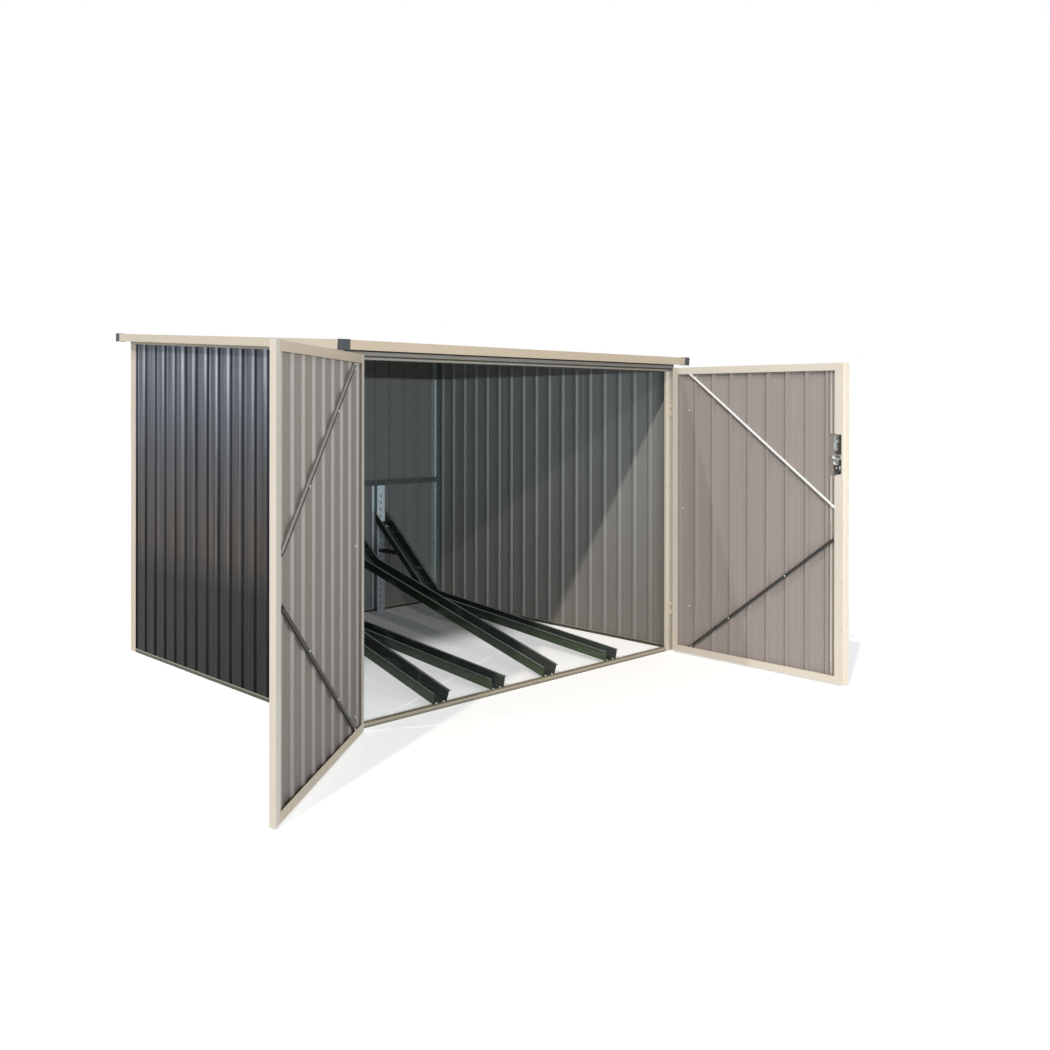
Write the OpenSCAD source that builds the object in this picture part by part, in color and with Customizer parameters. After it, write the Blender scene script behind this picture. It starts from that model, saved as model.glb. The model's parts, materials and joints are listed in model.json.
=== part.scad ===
// Metal bicycle shelter: ribbed sheet walls and roof, two hinged doors, four sloping wheel channels.
// Frame: +X right along the doorway side, +Y towards the back, +Z up, origin on the ground at mid doorway.

/* [Building] */
// Width over the side walls
width = 2380; // [2200:10:2600]
// Depth over the front and back walls
depth = 2260; // [2100:10:2400]
// Height of the roof edge at the front
front_height = 1768; // [1700:1:1850]
// Fall of the roof towards the front, in degrees
roof_slope = 3.37; // [2:0.01:5]

/* [Sheets] */
// Thickness of the ribbed sheets
sheet_t = 0.8; // [0.6:0.1:1.2]
// Wanted spacing of the ribs
rib_pitch = 125; // [110:1:140]
// Depth of a rib
rib_depth = 10; // [8:0.5:12]
// Width of the flat on top of a rib
rib_top = 14; // [10:1:18]
// Width of each sloping side of a rib
rib_flank = 10; // [7:1:12]
// Length of the tongue that lies under the next sheet
lap = 18; // [12:1:24]

/* [Frame] */
// Thickness of the folded frame sections
frame_t = 1.2; // [1:0.1:1.6]
// Height of the base channels and the sill
base_h = 22; // [18:1:30]
// Width of the wall channels
channel_w = 16; // [15:0.5:20]
// Depth of the sill and the header
sill_d = 34; // [30:1:40]
// Height of the header over the doorway
header_h = 76; // [70:1:90]
// Height of the proud strip along the foot of the header
header_foot = 15; // [10:1:20]
// Set-back of the header face above that strip
header_step = 5; // [3:0.5:8]
// Height of the wall top channels
top_h = 46; // [40:1:56]
// Width of the front face of a front post
front_post_w = 80; // [74:1:95]
// Width of a post leg along a side or back wall
post_leg = 65; // [50:1:80]
// Depth of the jamb fold of a front post
jamb = 14; // [10:1:20]
// Height of the rail across the back wall, to its underside
girt_z = 903; // [880:1:930]
// Height of the back rail section
girt_h = 37; // [30:1:45]
// Depth of the back rail section
girt_d = 24; // [18:1:30]

/* [Roof edge] */
// Height of the roof edge section
fascia_h = 44; // [38:1:50]
// Width of its folds over and under the roof
fascia_lip = 26; // [20:1:30]
// Reach of the roof beyond each side wall
over_side = 68; // [60:1:80]
// Reach of the roof beyond the front
over_front = 58; // [54:1:70]
// Reach of the roof beyond the back
over_rear = 48; // [40:1:60]
// Length of a corner cap along the roof edge
cap_len = 38; // [34:1:46]
// Wall thickness of a corner cap
cap_t = 3; // [2.5:0.5:4]

/* [Doors] */
// Opening angle of the left door as modelled
open_left = 141.3; // [0:0.1:175]
// Opening angle of the right door as modelled
open_right = 90; // [0:0.1:175]
// Thickness of a door
door_t = 24; // [20:1:26]
// Space between a closed door and the front of the building
door_clear = 8; // [6:0.5:10]
// Height of the door's lower edge above the ground
door_low = 10; // [8:1:14]
// Cover of the door over the header
door_cover = 21; // [16:1:26]
// Width of a door stile
stile_w = 38; // [32:1:44]
// Height of a door rail
rail_h = 40; // [34:1:46]
// Distance of the hinge pin from the corner of the building
pin_inset = 44; // [42:1:48]
// Distance of the hinge pin in front of the building
pin_out = 30; // [28:1:32]
// Space from the hinge pin to the edge of the door
hinge_gap = 9; // [8:0.5:11]
// Space from the meeting edge of each door to the middle
meeting_gap = 18; // [17:1:24]
// Width of the cover strip beyond the right door's meeting edge
strip_w = 22; // [18:1:27]
// Width of that strip on the door's outer face
strip_hold = 20; // [16:1:28]
// Distance of the first door rib from the edge of the door sheet
first_rib = 35; // [30:1:40]
// Spacing of the door ribs
door_pitch = 122.7; // [120:0.1:123]
// Diameter of the brace tubes
brace_d = 17; // [14:1:18]
// Distance of the brace ends from the hinge pin
brace_near = 132; // [120:1:150]
// Half distance between the two brace ends on the meeting stile
brace_mid = 72; // [60:1:90]
// Length over which a brace tube is pressed flat at its ends
brace_flat = 46; // [36:1:60]
// Thickness of a flattened brace end
brace_tab = 3; // [2.5:0.5:4]
// Reach of the brace ends behind the folds of the door frame
brace_hold = 4; // [2:0.5:6]

/* [Hinges and latch] */
// Radius of a hinge pin
pin_r = 3.5; // [3:0.5:4]
// Running clearance round a hinge pin
pin_play = 0.05; // [0.03:0.01:0.1]
// Outer radius of a hinge knuckle
knuckle_r = 5.5; // [5:0.5:6]
// Length of a hinge
hinge_len = 72; // [60:2:84]
// Distance of a hinge from the end of the door
hinge_in = 250; // [200:5:320]
// Thickness of a hinge leaf
leaf_t = 2.5; // [2:0.5:3]
// Margin of a hinge leaf from the edges it lies along
leaf_edge = 4; // [3:0.5:6]
// Width of the arm that carries a fixed knuckle
arm_w = 5; // [4:0.5:7]
// Height of the middle of the latch
latch_z = 1222; // [1150:1:1300]
// Height of the cut-out round the latch
latch_h = 208; // [190:1:230]
// Width of the stile fold left beside the cut-out
latch_fold = 8; // [6:1:12]
// Depth of the latch case
latch_d = 12; // [9:1:14]
// Space above and below the latch case in the cut-out
latch_edge = 12; // [8:1:20]
// Diameter of the latch knob
knob_d = 19; // [14:1:20]
// Height of the latch knob
knob_h = 6; // [4:0.5:8]

/* [Wheel channels] */
// Place of the first channel across the building, from the middle
channel_1 = -634; // [-660:1:-600]
// Place of the second channel
channel_2 = -249; // [-280:1:-220]
// Place of the third channel
channel_3 = 125; // [100:1:160]
// Place of the fourth channel
channel_4 = 633; // [600:1:660]
// Length of a channel's front end on the sill
track_rest = 12; // [8:1:20]
// Inside width of a channel at the bottom
trough_w = 84; // [70:1:95]
// Height of a channel side
trough_h = 55; // [45:1:60]
// Lean of a channel side
trough_flare = 5; // [3:1:8]
// Width of the outward lip on a channel side
trough_lip = 12; // [8:1:14]
// Thickness of the channel sheet
trough_t = 1.5; // [1.2:0.1:2]
// Slope of a low channel, in degrees
low_slope = 5; // [4:0.1:6]
// Slope of a high channel, in degrees
high_slope = 14.2; // [13:0.1:15]
// Slope of the upper end of a low channel, in degrees
low_rise = 40; // [36:1:42]
// Slope of the upper end of a high channel, in degrees
high_rise = 36; // [34:1:37]
// Distance from the front to the bend of a channel, as a share of the depth
bend_at = 0.725; // [0.7:0.005:0.75]
// Width of a rack post face
rack_post_w = 67; // [60:1:75]
// Depth of a rack post
rack_post_d = 38; // [30:1:44]
// Width of the lips of a rack post
rack_post_lip = 20; // [15:1:24]
// Width of a strut under a channel
strut_w = 36; // [28:1:44]
// Height of a strut
strut_h = 22; // [18:1:26]
// Height of a strut up the raised end of its channel, as a share
strut_at = 0.55; // [0.5:0.01:0.6]

/* [Hidden] */
$fn = 32;
seat = 0.3;
fit = 0.5;
joggle = 3;
rest = 0.05;
far = 2 * (width + depth);
half_w = width / 2;
slope_t = tan(roof_slope);
roof_stack = sheet_t + rib_depth + frame_t;
roof_z0 = front_height - roof_stack * cos(roof_slope);
roof_w = width + 2 * over_side;
roof_l = (depth + over_front + over_rear) / cos(roof_slope);
rib_foot = rib_top + 2 * rib_flank;
sheet_d = rib_depth + sheet_t;
wall_in = half_w - frame_t - sheet_d;
back_in = depth - frame_t - sheet_d;
side_y0 = frame_t + fit;
side_len = depth - channel_w - fit - side_y0;
back_len = 2 * (half_w - frame_t - seat);
roof_inset = frame_t + fit;
roof_sheets_w = roof_w - 2 * roof_inset;
roof_sheets_l = roof_l - 2 * roof_inset;
doorway_h = under(header_step) - header_h;
pin_x = half_w - pin_inset;
t_in = pin_out - door_clear;
t_out = t_in - door_t;
door_x0 = hinge_gap;
door_x1 = pin_x - meeting_gap;
door_top = doorway_h + door_cover;
hinge_z = [door_low + hinge_in, door_top - hinge_in];
side_base_len = depth - 2 * post_leg;
back_base_len = width - 2 * post_leg;
post_face = back_in - rack_post_d;
bend_y = depth * bend_at;
track_y0 = sill_d - track_rest;
channel_x = [channel_1, channel_2, channel_3, channel_4];

function under(y) = roof_z0 + (y + over_front) * slope_t;
function unit(v) = v / norm(v);
function side_of(a, b) = let (d = unit(b - a)) [-d[1], d[0]];
function first_n(p, i) = i == 0 ? side_of(p[0], p[1]) : side_of(p[i - 1], p[i]);
function last_n(p, i) = i == len(p) - 1 ? side_of(p[i - 1], p[i]) : side_of(p[i], p[i + 1]);
function mitre(p, i, h) = let (a = first_n(p, i), m = unit(a + last_n(p, i))) p[i] + m * h / (m * a);
function strip(p, t) = concat(
    [for (i = [0 : len(p) - 1]) mitre(p, i, t / 2)],
    [for (i = [len(p) - 1 : -1 : 0]) mitre(p, i, -t / 2)]);
function u_path(w, h, t) = [[t / 2, h], [t / 2, t / 2], [w - t / 2, t / 2], [w - t / 2, h]];
function rib(x, f) = [[x - f / 2, 0], [x - f / 2 + rib_flank, rib_depth],
    [x + f / 2 - rib_flank, rib_depth], [x + f / 2, 0]];
function ribs(n, pitch) = [for (i = [0 : n - 1]) each rib((i + 0.5) * pitch, rib_foot)];
function tongue(x) = [[x - fit - joggle, 0], [x - fit, sheet_t + seat], [x + lap, sheet_t + seat]];
function sheet_path(n, pitch, last) = concat([[seat, 0]], ribs(n, pitch),
    last ? [[n * pitch - seat, 0]] : tongue(n * pitch));
function share(n, k, i) = floor(n * (i + 1) / k) - floor(n * i / k);

// Carries a flat outline along +Y: outline x stays X, outline y becomes Z.
module along_y(len) {
    rotate([90, 0, 0]) translate([0, 0, -len]) linear_extrude(height = len) children();
}

// Carries a flat outline along +X: outline x becomes Y, outline y becomes Z.
module along_x(len) {
    rotate([90, 0, 90]) linear_extrude(height = len) children();
}

module fold(path, t) {
    polygon(strip(path, t));
}

// A run of ribbed sheets along outline x, ribs towards +y, made of k lapped sheets.
module sheet_run(total, pitch_wanted, k, height) {
    n = round(total / pitch_wanted);
    pitch = total / n;
    for (i = [0 : k - 1])
        translate([floor(n * i / k) * pitch, sheet_t / 2, 0])
            linear_extrude(height = height)
                fold(sheet_path(share(n, k, i), pitch, i == k - 1), sheet_t);
}

// Everything of the roof is laid flat here and then tilted.
module on_roof() {
    translate([0, -over_front, roof_z0]) rotate([roof_slope, 0, 0]) children();
}

// The space above a plane that lies a given depth under the roof.
module above_roof(drop) {
    on_roof() translate([-far / 2, -far / 2, -drop]) cube(far);
}

// The space that the header takes at the front of the building.
module header_space() {
    translate([-far / 2, sill_d + seat - far, doorway_h]) cube(far);
}

module side_sheet() {
    translate([0, side_y0, frame_t]) rotate([0, 0, 90]) mirror([0, 1, 0])
        sheet_run(side_len, rib_pitch, 3, under(depth));
}

module side_wall() {
    difference() {
        translate([-half_w + frame_t, 0, 0]) side_sheet();
        above_roof(frame_t + seat);
        header_space();
    }
}

module left_wall() {
    color("dimgray") side_wall();
}

module right_wall() {
    color("dimgray") mirror([1, 0, 0]) side_wall();
}

module back_wall() {
    top = under(back_in) - frame_t - seat;
    color("dimgray")
        translate([-back_len / 2, depth - frame_t, frame_t]) mirror([0, 1, 0])
            sheet_run(back_len, rib_pitch, 3, top - frame_t);
}

module roof_sheets() {
    color("dimgray") on_roof()
        translate([-roof_sheets_w / 2, roof_inset + roof_sheets_l, 0]) rotate([90, 0, 0])
            sheet_run(roof_sheets_w, rib_pitch, 4, roof_sheets_l);
}

// Edge section: web outside at outline x 0, folds reaching inward over and under the roof.
module fascia_section() {
    translate([0, roof_stack - fascia_h])
        fold([[fascia_lip, frame_t / 2], [frame_t / 2, frame_t / 2],
            [frame_t / 2, fascia_h - frame_t / 2], [fascia_lip, fascia_h - frame_t / 2]], frame_t);
}

module front_fascia() {
    color("wheat") on_roof() translate([-roof_w / 2 + cap_len, 0, 0])
        along_x(roof_w - 2 * cap_len) fascia_section();
}

module rear_fascia() {
    color("wheat") on_roof() translate([-roof_w / 2 + cap_len, roof_l, 0])
        along_x(roof_w - 2 * cap_len) mirror([1, 0]) fascia_section();
}

// One side edge in two lengths that meet at half depth.
module side_fascia() {
    half = roof_l / 2 - cap_len - seat;
    on_roof() for (y = [cap_len, roof_l / 2 + seat])
        translate([-roof_w / 2, y, 0]) along_y(half) fascia_section();
}

module left_fascia() {
    color("wheat") side_fascia();
}

module right_fascia() {
    color("wheat") mirror([1, 0, 0]) side_fascia();
}

// Hollow corner cap, open towards the middle of the roof.
module corner_cap() {
    proud = cap_t - frame_t / 2;
    low = roof_stack - fascia_h - proud;
    difference() {
        translate([-proud, -proud, low]) cube([cap_len + proud, cap_len + proud, fascia_h + 2 * proud]);
        translate([cap_t - proud, cap_t - proud, low + cap_t])
            cube([cap_len, cap_len, fascia_h + 2 * proud - 2 * cap_t]);
    }
}

module corner_caps() {
    color("darkslategray") on_roof() for (i = [0, 1], j = [0, 1])
        mirror([i, 0, 0]) translate([-roof_w / 2, j * roof_l, 0]) mirror([0, j, 0]) corner_cap();
}

// Folded front post: side leg, face beside the doorway and a jamb fold.
module front_post() {
    h = frame_t / 2;
    difference() {
        translate([-half_w, 0, 0]) linear_extrude(height = under(post_leg))
            fold([[h, post_leg], [h, h], [front_post_w - h, h], [front_post_w - h, jamb]], frame_t);
        header_space();
        above_roof(top_h);
    }
}

module front_left_post() {
    color("wheat") front_post();
}

module front_right_post() {
    color("wheat") mirror([1, 0, 0]) front_post();
}

module rear_post() {
    h = frame_t / 2;
    top = under(depth - channel_w) - top_h - rest;
    difference() {
        translate([-half_w, depth, 0]) linear_extrude(height = top)
            fold([[h, -post_leg], [h, -h], [post_leg, -h]], frame_t);
        above_roof(top_h);
    }
}

module rear_left_post() {
    color("wheat") rear_post();
}

module rear_right_post() {
    color("wheat") mirror([1, 0, 0]) rear_post();
}

// The sill lies between the front posts in two lengths, its folds towards the back.
module front_sill() {
    h = frame_t / 2;
    reach = half_w - front_post_w;
    color("wheat") for (x = [-reach, seat])
        translate([x, 0, 0]) along_x(reach - seat)
            fold([[sill_d, h], [h, h], [h, base_h - h], [sill_d, base_h - h]], frame_t);
}

// The header runs over the posts in two lengths, its face set back above a proud foot.
module front_header() {
    h = frame_t / 2;
    color("wheat") for (x = [-half_w, seat])
        translate([x, 0, doorway_h]) along_x(half_w - seat)
            fold([[sill_d, h], [h, h], [h, header_foot], [h + header_step, header_foot + header_step],
                [h + header_step, header_h - h], [sill_d, header_h - h]], frame_t);
}

module side_base() {
    translate([-half_w, post_leg, 0]) along_y(side_base_len) fold(u_path(channel_w, base_h, frame_t), frame_t);
}

module left_base() {
    color("tan") side_base();
}

module right_base() {
    color("tan") mirror([1, 0, 0]) side_base();
}

module back_base() {
    color("tan") translate([-back_base_len / 2, depth - channel_w, 0])
        along_x(back_base_len) fold(u_path(channel_w, base_h, frame_t), frame_t);
}

// Raked channel that caps a side wall under the roof.
module side_top() {
    y0 = sill_d + seat;
    y1 = depth - channel_w - seat;
    difference() {
        on_roof() translate([-half_w, 0, -top_h]) along_y(roof_l)
            translate([0, top_h]) mirror([0, 1]) fold(u_path(channel_w, top_h, frame_t), frame_t);
        translate([-far / 2, y0 - far, 0]) cube(far);
        translate([-far / 2, y1, 0]) cube(far);
    }
}

module left_top() {
    color("wheat") side_top();
}

module right_top() {
    color("wheat") mirror([1, 0, 0]) side_top();
}

module back_top() {
    color("wheat") translate([-half_w, depth - channel_w, under(depth - channel_w) - rest])
        along_x(width) mirror([0, 1]) fold(u_path(channel_w, top_h, frame_t), frame_t);
}

// Rail across the inside of the back wall.
module back_girt() {
    reach = wall_in - seat;
    color("gray") translate([-reach, back_in - girt_d, girt_z]) along_x(2 * reach)
        fold([[girt_d, frame_t / 2], [frame_t / 2, frame_t / 2],
            [frame_t / 2, girt_h - frame_t / 2], [girt_d, girt_h - frame_t / 2]], frame_t);
}

// Section of a wheel channel, bottom face on outline y 0.
module trough() {
    h = trough_t / 2;
    b = trough_w / 2 + h;
    top = trough_h - h;
    fold([[-b - trough_flare - trough_lip, top], [-b - trough_flare, top], [-b, h],
        [b, h], [b + trough_flare, top], [b + trough_flare + trough_lip, top]], trough_t);
}

function track_slope(i) = i % 2 == 0 ? high_slope : low_slope;
function cradle_slope(i) = i % 2 == 0 ? high_rise : low_rise;
function bend_z(i) = base_h + (bend_y - track_y0) * tan(track_slope(i));
function cradle_z(i, y) = bend_z(i) + (y - bend_y) * tan(cradle_slope(i));

// The space behind the mitre at a bend, or in front of it.
module bend_side(i, dir) {
    turn = (track_slope(i) + cradle_slope(i)) / 2;
    translate([-far / 2, bend_y, bend_z(i)]) rotate([turn, 0, 0])
        translate([0, dir > 0 ? -seat / 2 : seat / 2 - far, -far / 2]) cube(far);
}

module wheel_track(i) {
    run = (bend_y - track_y0) / cos(track_slope(i)) + trough_h;
    color("darkgreen") difference() {
        translate([channel_x[i], track_y0, base_h]) rotate([track_slope(i), 0, 0]) along_y(run) trough();
        bend_side(i, 1);
    }
}

module wheel_cradle(i) {
    run = (post_face - bend_y) / cos(cradle_slope(i)) + 2 * trough_h;
    color("darkgreen") difference() {
        translate([channel_x[i], bend_y, bend_z(i)]) rotate([cradle_slope(i), 0, 0])
            translate([0, -trough_h, 0]) along_y(run) trough();
        bend_side(i, -1);
        translate([-far / 2, post_face - seat, -far / 2]) cube(far);
    }
}

module wheel_track_1() {
    wheel_track(0);
}

module wheel_track_2() {
    wheel_track(1);
}

module wheel_track_3() {
    wheel_track(2);
}

module wheel_track_4() {
    wheel_track(3);
}

module wheel_cradle_1() {
    wheel_cradle(0);
}

module wheel_cradle_2() {
    wheel_cradle(1);
}

module wheel_cradle_3() {
    wheel_cradle(2);
}

module wheel_cradle_4() {
    wheel_cradle(3);
}

// Hat section posts that stand against the back wall, notched over its base channel.
module rack_posts() {
    h = frame_t / 2;
    w = rack_post_w / 2 - h;
    color("silver") difference() {
        for (x = channel_x)
            translate([x, back_in, 0]) linear_extrude(height = girt_z)
                fold([[-w - rack_post_lip, -h], [-w, -h], [-w, -rack_post_d + h],
                    [w, -rack_post_d + h], [w, -h], [w + rack_post_lip, -h]], frame_t);
        translate([-far / 2, depth - channel_w - seat, base_h + seat - far]) cube(far);
    }
}

// Level struts from each post to the underside of its raised channel.
module rack_struts() {
    color("darkgreen") for (i = [0 : 3]) {
        rise = cradle_z(i, post_face) - bend_z(i);
        difference() {
            translate([channel_x[i] - strut_w / 2, bend_y, bend_z(i) + rise * strut_at])
                along_y(post_face - bend_y) fold(u_path(strut_w, strut_h, trough_t), trough_t);
            translate([-far / 2, bend_y, bend_z(i)]) rotate([cradle_slope(i), 0, 0])
                translate([0, -far / 2, -seat]) cube(far);
        }
    }
}

// Doors are drawn closed, from the hinge pin: x along the door, y towards the building.
module hang_left() {
    translate([-pin_x, -pin_out, 0]) rotate([0, 0, -open_left]) children();
}

module hang_right() {
    translate([pin_x, -pin_out, 0]) rotate([0, 0, open_right]) mirror([1, 0, 0]) children();
}

module door_panel() {
    z0 = door_low + frame_t;
    x0 = door_x0 + frame_t + seat;
    x1 = door_x1 - frame_t - seat;
    start = x0 + first_rib;
    n = floor((door_x1 - stile_w - rib_foot / 2 - start) / door_pitch) + 1;
    door_ribs = [for (i = [0 : n - 1]) each rib(start + i * door_pitch, rib_foot)];
    translate([0, t_out + frame_t + sheet_t / 2, z0])
        linear_extrude(height = door_top - z0 - frame_t - seat)
            fold(concat([[x0, 0]], door_ribs, [[x1, 0]]), sheet_t);
}

module door_section(w) {
    h = frame_t / 2;
    fold([[w, t_out + h], [h, t_out + h], [h, t_in - h], [w, t_in - h]], frame_t);
}

module door_stile() {
    translate([0, 0, door_low]) linear_extrude(height = door_top - door_low) door_section(stile_w);
}

module hinge_stile() {
    translate([door_x0, 0, 0]) door_stile();
}

module meeting_stile() {
    translate([door_x1, 0, 0]) mirror([1, 0, 0]) door_stile();
}

module door_rails() {
    x0 = door_x0 + stile_w;
    len = door_x1 - stile_w - x0;
    for (top = [0, 1])
        translate([x0, 0, top == 1 ? door_top : door_low]) mirror([0, 0, top])
            rotate([90, 0, 90]) linear_extrude(height = len) rotate([0, 0, 90]) mirror([0, 1]) door_section(rail_h);
}

// A tube pressed flat at both ends, which tuck behind the inner folds of the door frame.
module brace(a, b) {
    d = b - a;
    len = norm(d);
    r = brace_d / 2;
    tab = brace_tab / 2;
    pressed = [[0, -tab], [brace_flat / 2, -tab], [brace_flat, -r], [len - brace_flat, -r],
        [len - brace_flat / 2, -tab], [len, -tab], [len, tab], [len - brace_flat / 2, tab],
        [len - brace_flat, r], [brace_flat, r], [brace_flat / 2, tab], [0, tab]];
    translate([a[0], t_in - frame_t - tab, a[1]]) rotate([0, -atan2(d[1], d[0]), 0])
        intersection() {
            rotate([0, 90, 0]) cylinder(h = len, r = r);
            translate([0, 0, -brace_d]) linear_extrude(height = 2 * brace_d) polygon(pressed);
        }
}

module door_braces() {
    mid = (door_low + door_top) / 2;
    end = door_x1 - stile_w + brace_hold;
    brace([brace_near, door_top - rail_h + brace_hold], [end, mid + brace_mid]);
    brace([brace_near, door_low + rail_h - brace_hold], [end, mid - brace_mid]);
}

// Moving leaf of a hinge: plate on the door's outer face and the middle knuckle.
module door_leaf() {
    mid = hinge_len / 3 - 2 * fit;
    difference() {
        union() {
            translate([door_x0, t_out - leaf_t, -hinge_len / 2]) cube([stile_w - leaf_edge, leaf_t, hinge_len]);
            translate([0, t_out - leaf_t, -mid / 2]) cube([door_x0 + leaf_edge, leaf_t, mid]);
            translate([0, 0, -mid / 2]) cylinder(h = mid, r = knuckle_r);
        }
        translate([0, 0, -mid]) cylinder(h = 2 * mid, r = pin_r + pin_play);
    }
}

module door_hinges() {
    for (z = hinge_z)
        translate([0, 0, z]) door_leaf();
}

// Fixed leaf of a hinge: plate on the post, two knuckles on arms and the pin.
module post_leaf() {
    third = hinge_len / 3;
    reach = pin_inset - leaf_edge;
    union() {
        translate([-reach, pin_out - leaf_t, -hinge_len / 2]) cube([reach + arm_w / 2, leaf_t, hinge_len]);
        for (z = [-hinge_len / 2, hinge_len / 2 - third]) {
            translate([-arm_w / 2, 0, z]) cube([arm_w, pin_out, third]);
            translate([0, 0, z]) cylinder(h = third, r = knuckle_r);
        }
        translate([0, 0, -hinge_len / 2]) cylinder(h = hinge_len, r = pin_r);
    }
}

module frame_hinges() {
    color("silver") for (i = [0, 1], z = hinge_z)
        mirror([i, 0, 0]) translate([-pin_x, -pin_out, z]) post_leaf();
}

module left_panel() {
    color("dimgray") hang_left() door_panel();
}

module left_stiles() {
    color("wheat") hang_left() {
        hinge_stile();
        meeting_stile();
    }
}

module left_rails() {
    color("wheat") hang_left() door_rails();
}

module left_braces() {
    color("silver") hang_left() door_braces();
}

module left_hinges() {
    color("silver") hang_left() door_hinges();
}

module right_panel() {
    color("dimgray") hang_right() door_panel();
}

// The right door's meeting stile has a cut-out for the latch and carries a flat cover strip.
module right_stiles() {
    color("wheat") hang_right() {
        hinge_stile();
        difference() {
            meeting_stile();
            translate([door_x1 - latch_fold - stile_w, t_in - door_t / 2, latch_z - latch_h / 2])
                cube([stile_w, door_t, latch_h]);
        }
        translate([door_x1 - strip_hold, t_out - frame_t - seat, door_low])
            cube([strip_hold + strip_w, frame_t, door_top - door_low]);
    }
}

module right_rails() {
    color("wheat") hang_right() door_rails();
}

module right_braces() {
    color("silver") hang_right() door_braces();
}

module right_hinges() {
    color("silver") hang_right() door_hinges();
}

// Latch case held in the folds of the stile behind the cut-out, with a turn knob below its slide.
module right_latch() {
    case_w = stile_w - frame_t - 2 * seat;
    case_h = latch_h - 2 * latch_edge;
    face = t_in - frame_t - seat;
    color("silver") hang_right() translate([door_x1 - (stile_w + latch_fold) / 2, face, latch_z]) {
        translate([(stile_w + latch_fold) / 2 - frame_t - seat - case_w, -latch_d, -case_h / 2])
            cube([case_w, latch_d, case_h]);
        translate([0, -seat, -case_h / 4]) rotate([-90, 0, 0]) cylinder(h = knob_h + seat, d = knob_d);
        translate([-knob_d / 4, -seat, 0]) cube([knob_d / 2, knob_h / 2 + seat, case_h / 3]);
    }
}

left_wall();
right_wall();
back_wall();
roof_sheets();
front_fascia();
rear_fascia();
left_fascia();
right_fascia();
corner_caps();
front_left_post();
front_right_post();
rear_left_post();
rear_right_post();
front_sill();
front_header();
left_base();
right_base();
back_base();
left_top();
right_top();
back_top();
back_girt();
wheel_track_1();
wheel_track_2();
wheel_track_3();
wheel_track_4();
wheel_cradle_1();
wheel_cradle_2();
wheel_cradle_3();
wheel_cradle_4();
rack_posts();
rack_struts();
frame_hinges();
left_panel();
left_stiles();
left_rails();
left_braces();
left_hinges();
right_panel();
right_stiles();
right_rails();
right_braces();
right_hinges();
right_latch();
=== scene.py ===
import json
import math

import bpy
import numpy as np
from mathutils import Matrix, Vector


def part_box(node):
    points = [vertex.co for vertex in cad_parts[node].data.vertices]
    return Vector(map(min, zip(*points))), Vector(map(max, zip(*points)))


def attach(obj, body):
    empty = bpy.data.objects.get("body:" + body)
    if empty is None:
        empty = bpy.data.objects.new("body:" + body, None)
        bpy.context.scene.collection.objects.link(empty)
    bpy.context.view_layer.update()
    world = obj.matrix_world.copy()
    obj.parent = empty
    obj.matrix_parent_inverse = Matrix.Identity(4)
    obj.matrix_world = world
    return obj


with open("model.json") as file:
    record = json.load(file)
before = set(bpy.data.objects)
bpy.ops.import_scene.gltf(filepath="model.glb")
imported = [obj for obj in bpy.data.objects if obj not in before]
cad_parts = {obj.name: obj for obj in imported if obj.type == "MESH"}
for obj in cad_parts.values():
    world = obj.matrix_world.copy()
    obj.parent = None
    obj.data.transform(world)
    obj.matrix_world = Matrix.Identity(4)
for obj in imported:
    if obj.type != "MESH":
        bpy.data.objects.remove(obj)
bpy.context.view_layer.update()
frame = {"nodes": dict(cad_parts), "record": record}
nodes = frame["nodes"]
scene = bpy.context.scene
scene.view_settings.view_transform = "Standard"
print("frame loaded:", len(nodes), "nodes")

# camera, level, at the photograph's viewing angle; the frame is square
view = {"place": (-3.9655, -3.9864, 1.4706), "turn": 44.293, "pitch": -0.081, "roll": 0.064,
        "lens": 36.456, "sensor": 36, "shiftY": -0.1112, "clipEnd": 200}
cameraData = bpy.data.cameras.new("viewCamera")
cameraData.sensor_width = view["sensor"]
cameraData.lens = view["lens"]
cameraData.shift_y = view["shiftY"]
cameraData.clip_end = view["clipEnd"]
camera = bpy.data.objects.new("viewCamera", cameraData)
heading = Matrix.Rotation(math.radians(-view["turn"]), 4, "Z")
pitch = Matrix.Rotation(math.radians(90 + view["pitch"]), 4, "X")
roll = Matrix.Rotation(math.radians(view["roll"]), 4, "Z")
camera.matrix_world = Matrix.Translation(view["place"]) @ heading @ pitch @ roll
scene.collection.objects.link(camera)
scene.camera = camera


def hexColour(code):  # sRGB hex to linear RGBA
    c = np.array([int(code[i:i + 2], 16) for i in (1, 3, 5)]) / 255
    linear = np.where(c <= 0.04045, c / 12.92, ((c + 0.055) / 1.055) ** 2.4)
    return (*linear.tolist(), 1.0)


def toneColour(tone):  # a factor on a colour, one number or one for each of red, green and blue
    return (*np.broadcast_to(tone, 3).tolist(), 1.0)


def setInputs(tree, node, inputs):
    # inputs by name or in order: a plain value, a socket, or a node, which gives its first live output
    for key, value in inputs.items() if isinstance(inputs, dict) else enumerate(inputs):
        if isinstance(value, bpy.types.Node):
            value = next(socket for socket in value.outputs if socket.enabled)
        if isinstance(value, bpy.types.NodeSocket):
            tree.links.new(value, node.inputs[key])
        else:
            node.inputs[key].default_value = value


def addNode(tree, kind, inputs=(), **settings):  # one node with its settings and inputs
    node = tree.nodes.new("ShaderNode" + kind)
    for key, value in settings.items():
        setattr(node, key, value)
    setInputs(tree, node, inputs)
    return node


def setStops(ramp, stops):  # colour stops of a ramp, as pairs of place and hex colour
    band = ramp.color_ramp.elements
    band[0].position, band[0].color = stops[0][0], hexColour(stops[0][1])
    band[1].position, band[1].color = stops[-1][0], hexColour(stops[-1][1])
    for place, code in stops[1:-1]:
        band.new(place).color = hexColour(code)


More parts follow.
